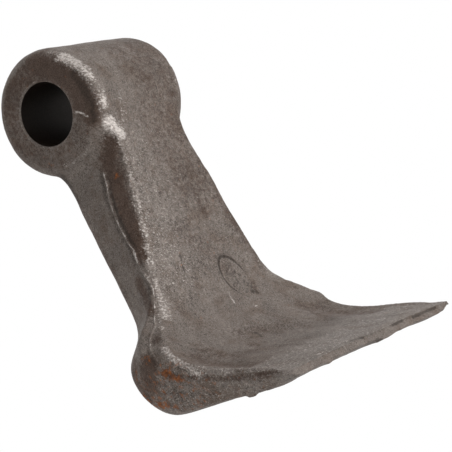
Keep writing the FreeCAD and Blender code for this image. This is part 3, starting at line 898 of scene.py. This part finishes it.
def forged_skin(broken_mask, grain):
    material = bpy.data.materials.new("forged skin")
    material.use_nodes = True
    nodes, links = material.node_tree.nodes, material.node_tree.links
    shader = nodes["Principled BSDF"]

    def over(under, coat, mask):
        return blend(nodes, links, "RGBA", under, coat, mask)

    def times(a, b):
        return maths(nodes, links, "MULTIPLY", a, b)

    coarse = between(nodes, links, painted(nodes, "grain"), 0, 1, 0.45, 1.1, smooth=False)
    tooth = nodes.new("ShaderNodeGroup")
    tooth.node_tree = grain
    links.new(coarse, tooth.inputs["Coarse"])
    wear_and_highlight = painted(nodes, "worn")
    worn, flecks = broken(nodes, links, broken_mask, wear_and_highlight, WORN_AND_HIGHLIT_FLECKS, SCRATCHES_ALONG)
    oxide_and_shade = broken(nodes, links, broken_mask, painted(nodes, "oxide_and_shade"), OXIDE_AND_SHADE_FLECKS, SCRATCHES_ALONG)[0]
    rust, crusts = broken(nodes, links, broken_mask, painted(nodes, "rust"), RUST_FLECKS)
    grime_and_shade = broken(nodes, links, broken_mask, painted(nodes, "grime_and_shade"), GRIME_AND_SHADE_FLECKS)[0]
    ripple = broken(nodes, links, broken_mask, painted(nodes, "ripple"), RIPPLE_FLECKS, RIPPLES_ALONG)[0]
    place = nodes.new("ShaderNodeTexCoord").outputs["Object"]
    tints = field(nodes, links, place, 7.0, 4, 0.6, shift=0.047)

    colour = over(linear(MILL_SCALE[0]), linear(MILL_SCALE[1]), tooth.outputs["Tone"])
    brown = between(nodes, links, tints, 0.44, 0.72, 0, 0.45)
    colour = over(colour, linear(BROWN_TINT), brown)
    specks = field(nodes, links, place, 0.75, 3, 0.65, shift=0.061)
    specks = between(nodes, links, specks, 0.57, 0.70, 0, 0.6)
    colour = over(colour, linear(DARK_SPECK), specks)
    glints = between(nodes, links, field(nodes, links, place, 0.5, 2, 0.6, shift=0.083), 0.58, 0.68)
    glints = times(glints, times(painted(nodes, "grain"), 0.7))
    colour = over(colour, linear(GLINT), glints)
    colour = over(colour, linear(RIPPLE_BROWN), times(ripple, 0.7))
    # Dark oxide together with painted shade
    dark_scale_and_shade = over(linear(DARK_OXIDE_AND_SHADE[0]), linear(DARK_OXIDE_AND_SHADE[1]), tooth.outputs["Tone"])
    colour = over(colour, dark_scale_and_shade, times(oxide_and_shade, 0.82))
    # Rubbed and bare steel where worn, also painting the highlights and the lighter blade
    rubbed_and_highlit = times(between(nodes, links, wear_and_highlight, 0.15, 0.6), 0.3)
    colour = over(colour, linear(RUBBED_STEEL_AND_HIGHLIGHT), rubbed_and_highlit)
    scratched = maths(nodes, links, "ADD", flecks, times(wear_and_highlight, 0.3))
    scratched = between(nodes, links, scratched, 0.50, 0.88)
    bare_and_highlight = over(linear(BARE_STEEL_AND_HIGHLIGHT[0]), linear(BARE_STEEL_AND_HIGHLIGHT[1]), scratched)
    colour = over(colour, bare_and_highlight, times(worn, 0.85))
    crust = between(nodes, links, crusts, 0.35, 0.7)
    rust_tone = over(linear(RUST[0]), linear(RUST[1]), crust)
    colour = over(colour, rust_tone, times(rust, 0.8))
    # Grime together with painted shade and shadow
    colour = over(colour, linear(GRIME_AND_SHADE), times(grime_and_shade, 0.72))
    links.new(colour, shader.inputs["Base Color"])

    rough = between(nodes, links, tooth.outputs["Tone"], 0, 1, 0.66, 0.50)
    rough = blend(nodes, links, "FLOAT", rough, 0.44, worn)
    rough = blend(nodes, links, "FLOAT", rough, 0.85, rust)
    links.new(rough, shader.inputs["Roughness"])
    metal = blend(nodes, links, "FLOAT", 0.08, 0.3, worn)
    metal = blend(nodes, links, "FLOAT", metal, 0.0, rust)
    links.new(metal, shader.inputs["Metallic"])
    shader.inputs["Specular IOR Level"].default_value = 0.14

    bump = nodes.new("ShaderNodeBump")
    bump.inputs["Strength"].default_value = 0.7
    bump.inputs["Distance"].default_value = 0.35 * MM
    links.new(tooth.outputs["Height"], bump.inputs["Height"])
    links.new(bump.outputs["Normal"], shader.inputs["Normal"])
    return material


def bored_steel(grain):
    material = bpy.data.materials.new("bored steel")
    material.use_nodes = True
    nodes, links = material.node_tree.nodes, material.node_tree.links
    shader = nodes["Principled BSDF"]
    tooth = nodes.new("ShaderNodeGroup")
    tooth.node_tree = grain
    tooth.inputs["Coarse"].default_value = 0.3
    colour = blend(nodes, links, "RGBA", linear(BORED_STEEL[0]), linear(BORED_STEEL[1]), tooth.outputs["Tone"])
    links.new(colour, shader.inputs["Base Color"])
    links.new(between(nodes, links, tooth.outputs["Tone"], 0, 1, 0.55, 0.4), shader.inputs["Roughness"])
    shader.inputs["Metallic"].default_value = 0.5
    shader.inputs["Specular IOR Level"].default_value = 0.3
    return material


def where_seen(nodes, links, elsewhere, seen_strength):
    """One strength for what the camera and reflections see, and another for the light it gives."""
    path = nodes.new("ShaderNodeLightPath")
    seen = maths(nodes, links, "MAXIMUM", path.outputs["Is Camera Ray"], path.outputs["Is Glossy Ray"])
    seen = maths(nodes, links, "MAXIMUM", seen, path.outputs["Is Transmission Ray"])
    return blend(nodes, links, "FLOAT", elsewhere, seen_strength, seen)


def light_up():
    world = bpy.data.worlds.new("studio")
    bpy.context.scene.world = world
    world.use_nodes = True
    nodes, links = world.node_tree.nodes, world.node_tree.links
    background = nodes["Background"]
    background.inputs["Color"].default_value = (1, 1, 1, 1)
    links.new(where_seen(nodes, links, WORLD_LIGHT, 1.0), background.inputs["Strength"])
    for name, place, size, power in LAMPS:
        bpy.ops.object.light_add(type="AREA", location=place)
        lamp = bpy.context.object
        lamp.name = name
        lamp.data.size = size
        lamp.data.energy = power
        lamp.rotation_euler = (CAMERA_AIM - place).to_track_quat("-Z", "Y").to_euler()


def lay_floor():
    bpy.ops.mesh.primitive_plane_add(size=FLOOR_SIZE, location=(0, 0, FLOOR_HEIGHT))
    floor = bpy.context.object
    floor.name = "floor"
    material = bpy.data.materials.new("pale floor")
    material.use_nodes = True
    nodes, links = material.node_tree.nodes, material.node_tree.links
    shader = nodes["Principled BSDF"]
    shader.inputs["Base Color"].default_value = FLOOR_COLOUR
    shader.inputs["Roughness"].default_value = 0.9
    shader.inputs["Emission Color"].default_value = FLOOR_COLOUR
    links.new(where_seen(nodes, links, 0.0, FLOOR_GLOW), shader.inputs["Emission Strength"])
    floor.data.materials.append(material)


def place_camera():
    bpy.ops.object.camera_add(location=CAMERA_PLACE)
    camera = bpy.context.object
    camera.data.lens = CAMERA_LENS
    camera.data.sensor_width = 36
    aim = (CAMERA_AIM - CAMERA_PLACE).to_track_quat("-Z", "Y")
    camera.rotation_euler = (aim @ Quaternion((0, 0, 1), -CAMERA_ROLL)).to_euler()
    camera.data.clip_start = 0.01
    bpy.context.scene.camera = camera


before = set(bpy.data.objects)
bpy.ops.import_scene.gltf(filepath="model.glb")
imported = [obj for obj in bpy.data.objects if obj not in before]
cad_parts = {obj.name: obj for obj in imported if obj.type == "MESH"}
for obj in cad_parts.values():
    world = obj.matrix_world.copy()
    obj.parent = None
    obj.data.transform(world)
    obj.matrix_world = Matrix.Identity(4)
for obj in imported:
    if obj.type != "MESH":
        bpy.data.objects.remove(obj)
cad_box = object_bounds()
place_camera()
light_up()
lay_floor()

hammer = rough_hammer()
bore_eye(hammer)
soften_neck(hammer)
shape_foot(hammer)
wear_edge(hammer)
lump(hammer)
lines = (EYE_RIM, EYE_SCAR, SHANK_ARRIS, FOOT_ARRIS, LIP_WEAR, PARTING_LINE, FOOT_SEAM, FOOT_STRIP)
edges = [path for line in lines for path in both_sides(line)]
refine(hammer, edges + [LAND_TOP], 1.7)
refine(hammer, both_sides(PARTING_LINE), 1.2)
refine_stamp(hammer)
cut_details(hammer)
pit(hammer)
sort_faces(hammer)
paint_wear(hammer)
broken_mask = broken_mask_group()
grain = grain_group()
hammer.data.materials.append(forged_skin(broken_mask, grain))
hammer.data.materials.append(bored_steel(grain))
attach(hammer, "root")
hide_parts("hammer_blade")

bpy.context.scene.view_settings.view_transform = "Standard"
